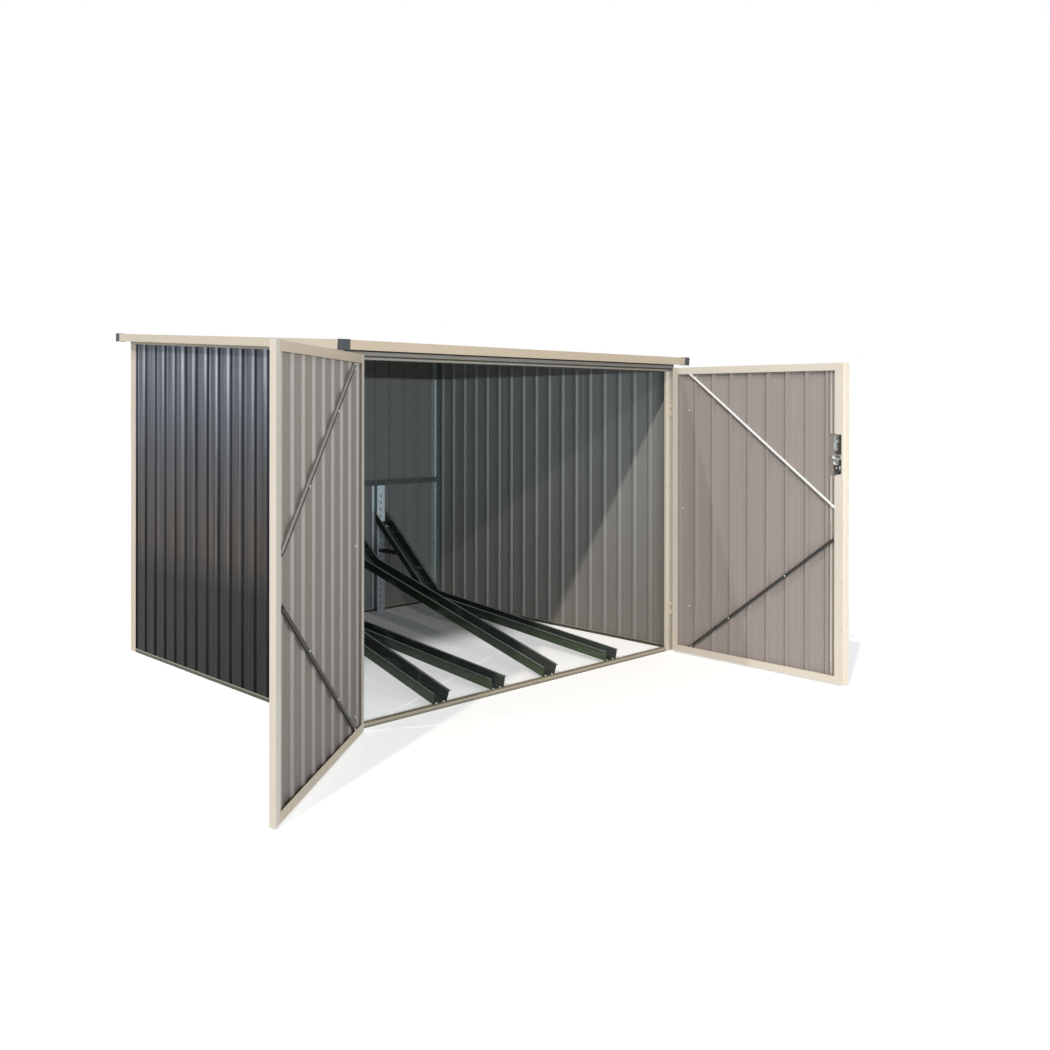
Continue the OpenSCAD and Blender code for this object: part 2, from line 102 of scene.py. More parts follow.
def newMaterial(name, plain):  # a Principled material with its constant sockets set, and its coordinates
    mat = bpy.data.materials.new(name)
    mat.use_nodes = True
    tree = mat.node_tree
    shader = tree.nodes["Principled BSDF"]
    setInputs(tree, shader, plain)
    return mat, tree, shader, addNode(tree, "TexCoord").outputs


# floor, backdrop and lamps; the floor's glow ends under the roof, at these depths behind the doorway, as
# painted shade
studio = {"floorSize": 90.0, "floorPaint": "#D2D2D0", "floorSeen": "#FFFFFF", "floorGlow": 0.46,
          "glowEnds": (0.9, 1.4), "sky": "#EAF2F4", "skyLevel": 0.36}
lamps = {"key": {"aim": (0.75, 0.35, -0.553), "level": 1.1, "soft": 1.2, "tint": "#FFF0E2"},
         "fill": {"aim": (0.5, 0.75, -0.471), "level": 0.3, "soft": 1.5, "tint": "#FFF0E0"},
         "rim": {"aim": (0.5, -0.247, -0.83), "level": 0.7, "soft": 1.2, "tint": "#FFFFFF"}}
# the strip lamp hangs level with the header, so the inner walls are lit up to its height
stripLamp = {"place": (-2.6, -6.6, 1.712), "long": 7.0, "high": 0.05, "power": 282.0, "tint": "#E8F2F7"}


def litForEye(tree):  # 1 for camera, mirror and glass rays, 0 for the rays that carry light
    path = addNode(tree, "LightPath").outputs
    eye = addNode(tree, "Math", [path["Is Camera Ray"], path["Is Glossy Ray"]], operation="MAXIMUM")
    return addNode(tree, "Math", [eye, path["Is Transmission Ray"]], operation="MAXIMUM")


def makeWorld():
    world = bpy.data.worlds.new("studioWorld")
    scene.world = world
    world.use_nodes = True
    tree = world.node_tree
    seen = litForEye(tree)
    strength = addNode(tree, "MapRange", {0: seen, 3: studio["skyLevel"], 4: 1.0})
    colour = addNode(tree, "Mix", {0: seen, 6: hexColour(studio["sky"]), 7: (1, 1, 1, 1)}, data_type="RGBA")
    setInputs(tree, tree.nodes["Background"], {"Strength": strength, "Color": colour})


def floorMaterial():  # pale matt paint, with a glow for the eye alone that keeps it white
    mat = bpy.data.materials.new("palePaintedFloor")
    mat.use_nodes = True
    tree = mat.node_tree
    tree.nodes.remove(tree.nodes["Principled BSDF"])
    seen = litForEye(tree)
    dull, white = hexColour(studio["floorPaint"]), hexColour(studio["floorSeen"])
    paint = addNode(tree, "Mix", {0: seen, 6: dull, 7: white}, data_type="RGBA")
    matt = addNode(tree, "BsdfDiffuse", {"Color": paint})
    # the glow ends under the roof, between the side walls: painted shade on the floor under the roof
    place = addNode(tree, "SeparateXYZ", [addNode(tree, "TexCoord").outputs["Object"]]).outputs
    across = addNode(tree, "Math", [place["X"]], operation="ABSOLUTE")
    between = addNode(tree, "Math", [across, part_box("right_wall")[1][0]], operation="LESS_THAN")
    before = addNode(tree, "Math", [place["Y"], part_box("back_wall")[1][1]], operation="LESS_THAN")
    under = addNode(tree, "Math", [between, before], operation="MULTIPLY")
    deep = addNode(tree, "MapRange", [place["Y"], *studio["glowEnds"]], interpolation_type="SMOOTHSTEP")
    paintedRoofShade = addNode(tree, "Math", [under, deep], operation="MULTIPLY")
    level = addNode(tree, "MapRange", {0: paintedRoofShade, 3: studio["floorGlow"], 4: 0.0})
    glow = addNode(tree, "Math", [seen, level], operation="MULTIPLY")
    light = addNode(tree, "Emission", {"Strength": glow})
    both = addNode(tree, "AddShader", [matt, light])
    setInputs(tree, tree.nodes["Material Output"], {"Surface": both})
    return mat


def makeStage():
    makeWorld()
    half = studio["floorSize"] / 2
    corners = [(-half, -half, 0), (half, -half, 0), (half, half, 0), (-half, half, 0)]
    data = bpy.data.meshes.new("studioFloor")
    data.from_pydata(corners, [], [(0, 1, 2, 3)])
    data.materials.append(floorMaterial())
    floor = bpy.data.objects.new("studioFloor", data)
    scene.collection.objects.link(floor)
    for name, look in lamps.items():
        lamp = bpy.data.lights.new(name + "Lamp", "SUN")
        lamp.energy = look["level"]
        lamp.angle = math.radians(look["soft"])
        lamp.color = hexColour(look["tint"])[:3]
        holder = bpy.data.objects.new(name + "Lamp", lamp)
        holder.rotation_euler = Vector(look["aim"]).to_track_quat("-Z", "Y").to_euler()
        scene.collection.objects.link(holder)
    lamp = bpy.data.lights.new("stripLamp", "AREA")
    lamp.shape = "RECTANGLE"
    lamp.size, lamp.size_y = stripLamp["long"], stripLamp["high"]
    lamp.energy = stripLamp["power"]
    lamp.color = hexColour(stripLamp["tint"])[:3]
    holder = bpy.data.objects.new("stripLamp", lamp)
    holder.location = stripLamp["place"]
    holder.rotation_euler = (math.radians(90), 0, 0)
    scene.collection.objects.link(holder)
    print("stage: floor, world and", len(lamps) + 1, "lamps")


makeStage()

# the two doors as they stand in the solids: pin, opening angle and which way the door runs from its pin
hinges = {joint["name"]: joint for joint in frame["record"]["behaviour"]["joints"]}
doors = {}
for side, hand in (("left", 1), ("right", -1)):
    hinge = hinges[side + "_door_hinge"]
    low, high = (np.array(corner) * 1000 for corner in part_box(side + "_stiles"))
    doors[side] = {"pin": hinge["pos_m"][:2], "open": -hinge["range_deg"][0] * hinge["axis"][2],
                   "hand": hand, "foot": low[2], "top": high[2]}
upwards = np.array([0, 0, 1.0])


def doorAxes(side):  # unit vectors along the door and towards its inner face, at rest
    a = math.radians(doors[side]["open"])
    along = np.array([math.cos(a), math.sin(a), 0.0]) * doors[side]["hand"]
    inward = np.array([-math.sin(a), math.cos(a), 0.0])
    return along, inward


def doorPoints(side, s, t, z):  # millimetres along, through and up the door to metres in the shared frame
    along, inward = doorAxes(side)
    s, t, z = np.broadcast_arrays(np.asarray(s, float), np.asarray(t, float), np.asarray(z, float))
    pin = np.array([*doors[side]["pin"], 0.0])
    return pin + (s[..., None] * along + t[..., None] * inward + z[..., None] * upwards) / 1000


# Coil-coated steel sheet: satin dark grey paint outside with a painted sheen and painted glints on each
# hollow pan and grooves darkened as painted shade, a matt warm grey backing coat inside, and fine rolled
# lines that break the light into pinstripes. Colours go by height; outside that is a painted reflection, dark
# at the foot and pale and bluish at the top. Places across a rib are in rib pitches, and sizes are in metres.
sheetLook = {"pan": [(0.0, "#1D1F20"), (0.28, "#232526"), (0.39, "#474342"), (0.48, "#4F4C4B"),
                     (0.68, "#54575D"), (0.82, "#616672"), (1.0, "#707784")],
             "paintedSheen": [(0.0, "#222526"), (0.28, "#282B2C"), (0.39, "#605B58"), (0.5, "#605D5C"),
                       (0.68, "#73767F"), (0.8, "#969CAA"), (1.0, "#E0E8F8")],
             "grooveShade": [(0.0, "#181A1B"), (0.5, "#32353A"), (1.0, "#3F4754")],
             "wallHeight": 1.75, "ribFoot": 0.027, "grooveSoft": 0.015, "panEdge": (0.33, 0.36),
             "sheenFrom": (0.61, 0.68), "sheenTo": (0.76, 0.93), "sheenSway": 0.16,
             "glintAt": (0.16, 0.5), "glintWide": 0.07, "glintTone": 0.75, "glintOften": (0.25, 0.8),
             "stripesPerPitch": 8, "stripeDepth": 0.22, "stripeTone": 0.09,
             "buckleDepth": 0.9, "buckleSize": 0.35,
             "streaks": (45, 0.9), "streakFade": (0.36, 0.64), "streakTone": (0.68, 1.42),
             "bands": (7, 0.25), "bandFade": (0.36, 0.62), "bandTone": (0.2, 1.0),
             "outwardFade": (-0.02, 0.02), "flankFade": (0.3, 0.6),
             "roughness": (0.5, 0.3), "roughSway": 0.14}
# backing coats: two tones, the tone of the front flank of each rib, and the tones at the foot and the top;
# the flank tones and the foot and top tones are painted light and shade
# side walls: darker and warmer at the foot, paler and cooler at the top, as painted light and shade
wallBack = {"tones": ("#9B9D9A", "#A5A7A3"), "flank": (0, -1, 0), "flankTone": 1.0,
            "rise": ((0.95, 0.88, 0.89), (1.2, 1.27, 1.3))}
# back wall and roof underside: darker copies of the walls' backing coat as painted shade, darker again on one
# flank of each rib
shadedBackWallCoat = {"tones": ("#828281", "#8C8C8A"), "flank": (-1, 0, 0), "flankTone": 0.9, "rise": (1.0, 1.0)}
shadedRoofCoat = {"tones": ("#454544", "#4C4C4A"), "flank": (-1, 0, 0), "flankTone": 0.9, "rise": (1.0, 1.0)}
# the doors' backing coats are paler and warmer than the walls'; the left door's flanks carry a painted bluish
# highlight and its coat is paler towards the top as painted light, and the right door's flanks are darkened
# as painted shade
leftBack = {"tones": ("#8D837C", "#988E87"), "flank": tuple(doorAxes("left")[0]),
            "flankTone": (1.34, 1.40, 1.49), "rise": (0.89, 1.25)}
rightBack = {"tones": ("#ADA49F", "#B9B0AA"), "flank": tuple(doorAxes("right")[0]),
             "flankTone": 0.74, "rise": (1.0, 1.0)}


def sheetMaterial(name, along, outward, start, pitch, back, height=sheetLook["wallHeight"], ribAxis=2):
    look = sheetLook
    mat, tree, shader, coord = newMaterial(name, {"IOR": 1.5, "Specular IOR Level": 0.1})
    spot, normal = coord["Object"], coord["Normal"]
    # rolled lines on the pans, and shallow buckles
    lengthways = addNode(tree, "VectorMath", [spot, along], operation="DOT_PRODUCT")
    phase = addNode(tree, "Math", [lengthways, 1 / pitch, -start / pitch], operation="MULTIPLY_ADD")
    turns = addNode(tree, "Math", [phase, 2 * math.pi * look["stripesPerPitch"]], operation="MULTIPLY")
    wave = addNode(tree, "Math", [turns], operation="COSINE")
    fromPan = addNode(tree, "Math", [phase, 0.5], operation="PINGPONG")
    onPan = addNode(tree, "MapRange", [fromPan, *look["panEdge"], 1.0, 0.0])
    stripes = addNode(tree, "Math", [wave, onPan], operation="MULTIPLY")
    buckle = addNode(tree, "TexNoise", {"Vector": spot, "Scale": 1 / look["buckleSize"], "Detail": 1.0})
    deep = addNode(tree, "Math", [buckle, look["buckleDepth"]], operation="MULTIPLY")
    raised = addNode(tree, "Math", [stripes, look["stripeDepth"], deep], operation="MULTIPLY_ADD")
    bump = addNode(tree, "Bump", {"Height": raised, "Distance": 0.001, "Strength": 1.0})

    # where the face looks outward, where the grooves get their painted shade, and where the pans get their
    # painted sheen
    facing = addNode(tree, "VectorMath", [normal, outward], operation="DOT_PRODUCT")
    outside = addNode(tree, "MapRange", [facing, *look["outwardFade"]])
    edge = 0.5 - look["ribFoot"] / pitch / 2
    grooveShade = addNode(tree, "MapRange", [fromPan, edge - look["grooveSoft"], edge])
    turn = addNode(tree, "Math", [phase], operation="FRACT")
    rib = addNode(tree, "Math", [phase], operation="FLOOR")
    chance = addNode(tree, "TexWhiteNoise", {"W": rib}, noise_dimensions="1D").outputs
    half = look["sheenSway"] / 2
    sway = addNode(tree, "MapRange", {0: chance["Value"], 3: -half, 4: half})
    swayed = addNode(tree, "Math", [turn, sway], operation="ADD")
    gain = addNode(tree, "MapRange", [swayed, *look["sheenFrom"]], interpolation_type="SMOOTHSTEP")
    loss = addNode(tree, "MapRange", [swayed, *look["sheenTo"], 1.0, 0.0], interpolation_type="SMOOTHSTEP")
    paintedSheen = addNode(tree, "Math", [gain, loss], operation="MULTIPLY")
    # the painted glint falls off to both sides of a place that chance picks on each rib
    pick = addNode(tree, "SeparateColor", [chance["Color"]]).outputs
    glintAt = addNode(tree, "MapRange", {0: pick[1], 3: look["glintAt"][0], 4: look["glintAt"][1]})
    aside = addNode(tree, "Math", [turn, glintAt], operation="SUBTRACT")
    apart = addNode(tree, "Math", [aside], operation="ABSOLUTE")
    glint = addNode(tree, "MapRange", [apart, 0.0, look["glintWide"], 1.0, 0.0],
                    interpolation_type="SMOOTHSTEP")
    often = addNode(tree, "MapRange", [pick[2], *look["glintOften"], 0.0, look["glintTone"]])
    glinting = addNode(tree, "Math", [glint, often], operation="MULTIPLY")
    shine = addNode(tree, "Math", [paintedSheen, glinting], operation="MAXIMUM")

    # outer paint, with its painted reflection by height, uneven in bands and in streaks that run along the
    # ribs
    up = addNode(tree, "SeparateXYZ", [spot])
    rise = addNode(tree, "MapRange", [up.outputs["Z"], 0.0, height])
    drawn = {word: [look[word][axis == ribAxis] for axis in range(3)] for word in ("streaks", "bands")}
    streakPlace = addNode(tree, "Mapping", {"Vector": spot, "Scale": drawn["streaks"]})
    streaks = addNode(tree, "TexNoise", {"Vector": streakPlace, "Scale": 1.0, "Detail": 3.0})
    bandPlace = addNode(tree, "Mapping", {"Vector": spot, "Scale": drawn["bands"]})
    bands = addNode(tree, "TexNoise", {"Vector": bandPlace, "Scale": 1.0, "Detail": 2.0})
    banded = addNode(tree, "MapRange", [bands, *look["bandFade"], *look["bandTone"]])
    ramps = {word: addNode(tree, "ValToRGB", [rise]) for word in ("pan", "paintedSheen", "grooveShade")}
    for word, ramp in ramps.items():
        setStops(ramp, look[word])
    lit = addNode(tree, "Math", [shine, banded], operation="MULTIPLY")
    faces = addNode(tree, "Mix", {0: lit, 6: ramps["pan"], 7: ramps["paintedSheen"]}, data_type="RGBA")
    painted = addNode(tree, "Mix", {0: grooveShade, 6: faces, 7: ramps["grooveShade"]}, data_type="RGBA")
    streaked = addNode(tree, "MapRange", [streaks, *look["streakFade"], *look["streakTone"]])
    painted = addNode(tree, "VectorMath", {0: painted, "Scale": streaked}, operation="SCALE")

    # backing coat inside, with painted light and shade on the front flanks and by height
    dull, pale = (hexColour(code) for code in back["tones"])
    backing = addNode(tree, "Mix", {0: streaks, 6: dull, 7: pale}, data_type="RGBA")
    flank = addNode(tree, "VectorMath", [normal, back["flank"]], operation="DOT_PRODUCT")
    onFlank = addNode(tree, "MapRange", [flank, *look["flankFade"]])
    plain, changed = toneColour(1.0), toneColour(back["flankTone"])
    flankTone = addNode(tree, "Mix", {0: onFlank, 6: plain, 7: changed}, data_type="RGBA")
    backing = addNode(tree, "VectorMath", [backing, flankTone], operation="MULTIPLY")
    low, high = (toneColour(tone) for tone in back["rise"])
    higher = addNode(tree, "Mix", {0: rise, 6: low, 7: high}, data_type="RGBA")
    backing = addNode(tree, "VectorMath", [backing, higher], operation="MULTIPLY")

    colour = addNode(tree, "Mix", {0: outside, 6: backing, 7: painted}, data_type="RGBA")
    # the rolled lines also darken the colour a little along each line, as painted shade
    lineTone = look["stripeTone"]
    tone = addNode(tree, "Math", [stripes, lineTone, 1.0 - lineTone], operation="MULTIPLY_ADD")
    lined = addNode(tree, "VectorMath", {0: colour, "Scale": tone}, operation="SCALE")
    smooth = addNode(tree, "MapRange", {0: outside, 3: look["roughness"][0], 4: look["roughness"][1]})
    rough = addNode(tree, "Math", [streaks, look["roughSway"], smooth], operation="MULTIPLY_ADD")
    setInputs(tree, shader, {"Base Color": lined, "Roughness": rough, "Normal": bump})
    return mat


# Powder-coated steel trim: cream with a soft gloss and a faint orange peel.
trimCoat = {"peelSize": 0.0035, "peelDepth": 0.05, "cloudsPerMetre": 4.0,
            "splashRagged": 0.004, "splashSoft": 0.003}
trimLook = {"cream": "#E4DACB", "wornAndShaded": "#DACFBE"}
doorTrimLook = {"cream": "#EEE6DA", "wornAndShaded": "#E6DDCF"}
# The roof edge and the left door's frame, a little duller: shaded copies of the cream coat, as painted shade.
frontTrimLook = {"cream": "#CEBDA8", "wornAndShaded": "#C3B19A"}
leftTrimLook = {"cream": "#D3CBC0", "wornAndShaded": "#C9C0B4"}
# The back of the coat on a lip, pale grey, and a pale painted highlight along the wheel channels' lips.
lipLook = {"cream": "#DAD4CE", "wornAndShaded": "#CDC6C0"}
lipHighlightLook = {"cream": "#AAB4AD", "wornAndShaded": "#6F7A73"}
# The same coat on the ground sections, darker below a paler upper edge; on the base channels the dark part is
# painted shade and the pale edge a painted highlight.
sillLook = {"cream": "#B4A994", "wornAndShaded": "#857F6F", "edge": 0.012}
baseLook = {"cream": "#B9B3A0", "wornAndShaded": "#434439", "edge": 0.0185}


def trimMaterial(name, look):
    mat, tree, shader, coord = newMaterial(name, {"IOR": 1.5, "Roughness": 0.42})
    spot = coord["Object"]
    cloud = addNode(tree, "TexNoise", {"Vector": spot, "Scale": trimCoat["cloudsPerMetre"], "Detail": 4.0})
    peel = addNode(tree, "TexNoise", {"Vector": spot, "Scale": 1 / trimCoat["peelSize"]})
    deep = addNode(tree, "Math", [peel, trimCoat["peelDepth"]], operation="MULTIPLY")
    bump = addNode(tree, "Bump", {"Height": deep, "Distance": 0.001})
    paleShare = cloud
    # below the edge the darker tone; on the base channels it is painted shade under a painted highlight
    if "edge" in look:
        up = addNode(tree, "SeparateXYZ", [spot]).outputs["Z"]
        ragged = addNode(tree, "Math", [cloud, trimCoat["splashRagged"], up], operation="MULTIPLY_ADD")
        paleShare = addNode(tree, "MapRange", [ragged, look["edge"], look["edge"] + trimCoat["splashSoft"]])
    wornAndShaded, cream = hexColour(look["wornAndShaded"]), hexColour(look["cream"])
    coat = addNode(tree, "Mix", {0: paleShare, 6: wornAndShaded, 7: cream}, data_type="RGBA")
    setInputs(tree, shader, {"Base Color": coat, "Normal": bump})
    return mat


# The header's coat with painted shade under the roof edge: a painted shadow at the top, a grey strip, and a
# paler one at its foot.
headerLook = {"foot": 1.684, "top": 1.744, "cloudsPerMetre": 6.0, "cloudTone": (0.85, 1.1),
              "strips": [(0.0, "#4E4942"), (0.06, "#A09A90"), (0.16, "#A09A90"), (0.21, "#3A342E"),
                         (0.28, "#544E47"), (0.36, "#979289"), (0.58, "#8E8980"), (0.63, "#1A1714"),
                         (1.0, "#151210")]}


def headerMaterial():
    look = headerLook
    mat, tree, shader, coord = newMaterial("shadedHeaderCoat", {"IOR": 1.5, "Roughness": 0.5})
    spot = coord["Object"]
    cloud = addNode(tree, "TexNoise", {"Vector": spot, "Scale": look["cloudsPerMetre"], "Detail": 3.0})
    up = addNode(tree, "SeparateXYZ", [spot]).outputs["Z"]
    rise = addNode(tree, "MapRange", [up, look["foot"], look["top"]])
    # strips of painted shade by height, darkest under the roof edge
    strips = addNode(tree, "ValToRGB", [rise])
    setStops(strips, look["strips"])
    tone = addNode(tree, "MapRange", {0: cloud, 3: look["cloudTone"][0], 4: look["cloudTone"][1]})
    wornAndShaded = addNode(tree, "VectorMath", {0: strips, "Scale": tone}, operation="SCALE")
    setInputs(tree, shader, {"Base Color": wornAndShaded})
    return mat


# Injection-moulded plastic: dark grey, low gloss, with a fine spark-eroded grain.
capLook = {"grey": "#3B3E44", "pale": "#4A4D53", "grainSize": 0.0016, "cloudsPerMetre": 30.0}


def capMaterial():
    mat, tree, shader, coord = newMaterial("mouldedDarkPlastic", {"IOR": 1.46, "Roughness": 0.5})
    spot = coord["Object"]
    grain = addNode(tree, "TexNoise", {"Vector": spot, "Scale": 1 / capLook["grainSize"]})
    cloud = addNode(tree, "TexNoise", {"Vector": spot, "Scale": capLook["cloudsPerMetre"]})
    bump = addNode(tree, "Bump", {"Height": grain, "Distance": 0.0001})
    grey, pale = hexColour(capLook["grey"]), hexColour(capLook["pale"])
    colour = addNode(tree, "Mix", {0: cloud, 6: grey, 7: pale}, data_type="RGBA")
    setInputs(tree, shader, {"Base Color": colour, "Normal": bump})
    return mat


# Stove-enamelled steel: green on the outer sides, greyer on the inner faces and the channel floor, darkened
# towards the back as painted shade, half gloss, with small pale scuffs drawn out along the channel.
rackLook = {"front": "#455A3B", "back": "#1E2A1E", "inside": "#4D5250", "insideBack": "#262C29",
            "floor": "#454844", "scuff": "#66746A", "backShade": (0.25, 1.35), "fadeRagged": 0.5,
            "cloudsPerMetre": 9.0, "scuffSize": 0.03, "scuffDraw": (1.0, 0.16, 1.0),
            "scuffFade": (0.56, 0.76), "scuffMost": 0.8, "insideFade": (0.0, 0.06),
            "floorFade": (0.7, 0.8), "roughness": (0.34, 0.6)}


def rackMaterial():
    look = rackLook
    words = ("front", "back", "inside", "insideBack", "floor", "scuff")
    paints = {word: hexColour(look[word]) for word in words}
    mat, tree, shader, coord = newMaterial("darkGreenEnamel", {"IOR": 1.5, "Specular IOR Level": 0.35})
    spot = coord["Object"]
    cloud = addNode(tree, "TexNoise", {"Vector": spot, "Scale": look["cloudsPerMetre"], "Detail": 3.0})
    drawn = addNode(tree, "Mapping", {"Vector": spot, "Scale": look["scuffDraw"]})
    scuffs = addNode(tree, "TexNoise", {"Vector": drawn, "Scale": 1 / look["scuffSize"], "Detail": 4.0})
    rubbed = addNode(tree, "MapRange", [scuffs, *look["scuffFade"], 0.0, look["scuffMost"]])
    backwards = addNode(tree, "SeparateXYZ", [spot]).outputs["Y"]
    upFacing = addNode(tree, "SeparateXYZ", [coord["Normal"]]).outputs["Z"]
    # painted shade that darkens the coat towards the back, inside the shelter
    ragged = addNode(tree, "Math", [cloud, look["fadeRagged"], backwards], operation="MULTIPLY_ADD")
    backShade = addNode(tree, "MapRange", [ragged, *look["backShade"]])
    coat = addNode(tree, "Mix", {0: backShade, 6: paints["front"], 7: paints["back"]}, data_type="RGBA")
    # the sides lean outwards, so an upward tilt tells an inner face from an outer one
    within = addNode(tree, "MapRange", [upFacing, *look["insideFade"]])
    inside = addNode(tree, "Mix", {0: backShade, 6: paints["inside"], 7: paints["insideBack"]}, data_type="RGBA")
    coat = addNode(tree, "Mix", {0: within, 6: coat, 7: inside}, data_type="RGBA")
    flat = addNode(tree, "MapRange", [upFacing, *look["floorFade"]])
    coat = addNode(tree, "Mix", {0: flat, 6: coat, 7: paints["floor"]}, data_type="RGBA")
    colour = addNode(tree, "Mix", {0: rubbed, 6: coat, 7: paints["scuff"]}, data_type="RGBA")
    rough = addNode(tree, "MapRange", {0: rubbed, 3: look["roughness"][0], 4: look["roughness"][1]})
    bump = addNode(tree, "Bump", {"Height": scuffs, "Distance": 0.0002})
    setInputs(tree, shader, {"Base Color": colour, "Roughness": rough, "Normal": bump})
    return mat


# Hot-dip galvanised steel: bluish silver with a faint patchwork of zinc crystals, with painted shade on the
# faces that look sideways and towards the foot.
zincShadeAndGloss = {"sideFade": (0.4, 0.6), "footFade": (0.42, 0.62), "roughness": (0.3, 0.42)}
galvanisedLook = {"bright": "#EEFAFF", "dull": "#DDEBF2", "spangle": 0.007, "metal": 0.05,
                  "sideTone": 0.2, "footTone": 0.45}
# The same in grey on the angles in the corners, and darker on the back rail as painted shade.
angleLook = {"bright": "#949F9D", "dull": "#828D8B", "spangle": 0.012, "metal": 0.2,
             "sideTone": 0.8, "footTone": 1.0}
shadedRailLook = {"bright": "#6E7674", "dull": "#59605E", "spangle": 0.012, "metal": 0.3,
              "sideTone": 1.0, "footTone": 1.0}


def galvanisedMaterial(name, look):
    mat, tree, shader, coord = newMaterial(name, {"Metallic": look["metal"], "IOR": 1.5})
    cells = addNode(tree, "TexVoronoi", {"Vector": coord["Object"], "Scale": 1 / look["spangle"]})
    tint = addNode(tree, "SeparateColor", [cells.outputs["Color"]]).outputs
    dull, bright = hexColour(look["dull"]), hexColour(look["bright"])
    spangled = addNode(tree, "Mix", {0: tint[0], 6: dull, 7: bright}, data_type="RGBA")
    # painted shade on the faces that look sideways and towards the foot
    sideways = addNode(tree, "SeparateXYZ", [coord["Normal"]]).outputs["X"]
    aside = addNode(tree, "Math", [sideways], operation="ABSOLUTE")
    sideTone = addNode(tree, "MapRange", [aside, *zincShadeAndGloss["sideFade"], 1.0, look["sideTone"]])
    up = addNode(tree, "SeparateXYZ", [coord["Object"]]).outputs["Z"]
    footTone = addNode(tree, "MapRange", [up, *zincShadeAndGloss["footFade"], look["footTone"], 1.0])
    tone = addNode(tree, "Math", [sideTone, footTone], operation="MULTIPLY")
    colour = addNode(tree, "VectorMath", {0: spangled, "Scale": tone}, operation="SCALE")
    smooth, dry = zincShadeAndGloss["roughness"]
    rough = addNode(tree, "MapRange", {0: tint[1], 3: smooth, 4: dry})
    bump = addNode(tree, "Bump", {"Height": tint[2], "Distance": 0.00002})
    setInputs(tree, shader, {"Base Color": colour, "Roughness": rough, "Normal": bump})
    return mat


# Drawn steel tube with painted light: on the right door a painted highlight on the faces that look sideways
# and grey above and below, on the left door painted shade on those faces and pale edges, and the low bars
# painted dark as shade.
tubeLook = {"edgeFade": (0.55, 0.85), "lowTone": 0.045, "lowFade": (0.78, 0.9), "grainSize": 0.006,
            "grainFade": (0.3, 0.7), "grainTone": (0.8, 1.1)}
leftTubeLook = {"middle": "#3E3C37", "edge": "#C4BFB6"}
rightTubeLook = {"middle": "#FFFFFF", "edge": "#A3A7A5"}


def tubeMaterial(name, look):
    mat, tree, shader, coord = newMaterial(name, {"Metallic": 0.05, "IOR": 1.5, "Roughness": 0.3})
    spot = coord["Object"]
    upFacing = addNode(tree, "SeparateXYZ", [coord["Normal"]]).outputs["Z"]
    tilt = addNode(tree, "Math", [upFacing], operation="ABSOLUTE")
    # painted light across the bar: the middle colour on the faces that look sideways, the edge colour above
    # and below
    onEdge = addNode(tree, "MapRange", [tilt, *tubeLook["edgeFade"]])
    grain = addNode(tree, "TexNoise", {"Vector": spot, "Scale": 1 / tubeLook["grainSize"]})
    middle, edge = hexColour(look["middle"]), hexColour(look["edge"])
    steel = addNode(tree, "Mix", {0: onEdge, 6: middle, 7: edge}, data_type="RGBA")
    up = addNode(tree, "SeparateXYZ", [spot]).outputs["Z"]
    # painted shade on the low bars
    low = addNode(tree, "MapRange", [up, *tubeLook["lowFade"], tubeLook["lowTone"], 1.0])
    spots = addNode(tree, "MapRange", [grain, *tubeLook["grainFade"], *tubeLook["grainTone"]])
    tone = addNode(tree, "Math", [low, spots], operation="MULTIPLY")
    colour = addNode(tree, "VectorMath", {0: steel, "Scale": tone}, operation="SCALE")
    setInputs(tree, shader, {"Base Color": colour})
    return mat


# Zinc-plated steel: bright grey with fine drawing lines, used on screws and the latch.
zincLook = {"bright": "#F0F1F1", "dark": "#C9CDCE", "lineSize": 0.0012, "lineDraw": (1.0, 1.0, 0.05),
            "roughness": (0.22, 0.42)}


def zincMaterial():
    mat, tree, shader, coord = newMaterial("zincPlatedSteel", {"Metallic": 0.35, "IOR": 1.5})
    drawn = addNode(tree, "Mapping", {"Vector": coord["Object"], "Scale": zincLook["lineDraw"]})
    lines = addNode(tree, "TexNoise", {"Vector": drawn, "Scale": 1 / zincLook["lineSize"], "Detail": 2.0})
    dark, bright = hexColour(zincLook["dark"]), hexColour(zincLook["bright"])
    colour = addNode(tree, "Mix", {0: lines, 6: dark, 7: bright}, data_type="RGBA")
    smooth, dry = zincLook["roughness"]
    rough = addNode(tree, "MapRange", {0: lines, 3: smooth, 4: dry})
    setInputs(tree, shader, {"Base Color": colour, "Roughness": rough})
    return mat


# Blackened steel: dark, dry oxide on screws that have lost their plating; the same dark colour is painted
# shade on the slots and in the latch's gap.
oxideAndShadeLook = {"dark": "#2B2925", "pale": "#453F38", "grainSize": 0.004}


def oxideAndShadeMaterial():
    mat, tree, shader, coord = newMaterial("blackenedSteelAndShade", {"IOR": 1.5, "Roughness": 0.6})
    grain = addNode(tree, "TexNoise", {"Vector": coord["Object"], "Scale": 1 / oxideAndShadeLook["grainSize"]})
    dark, pale = hexColour(oxideAndShadeLook["dark"]), hexColour(oxideAndShadeLook["pale"])
    colour = addNode(tree, "Mix", {0: grain, 6: dark, 7: pale}, data_type="RGBA")
    setInputs(tree, shader, {"Base Color": colour})
    return mat


# ribs of each sheet: the middle of its first pan and its pitch, in metres; the roof takes its colours, with
# their painted reflection by height, as if the walls were as high as roofTone
ribs = {"side": (0.0017, 0.124544), "back": (-1.1885, 2.3770 / 19), "roof": (-1.2563, 2.5126 / 20),
        "door": (0.0455 - 0.1227 / 2, 0.1227), "roofTone": 3.0}


def doorSheet(name, side, back):  # a door's sheet, its ribs counted from the pin along the door
    along, inward = doorAxes(side)
    start, pitch = ribs["door"]
    shift = float(np.dot(along[:2], doors[side]["pin"]))
    return sheetMaterial(name, tuple(along), tuple(-inward), shift + start, pitch, back)


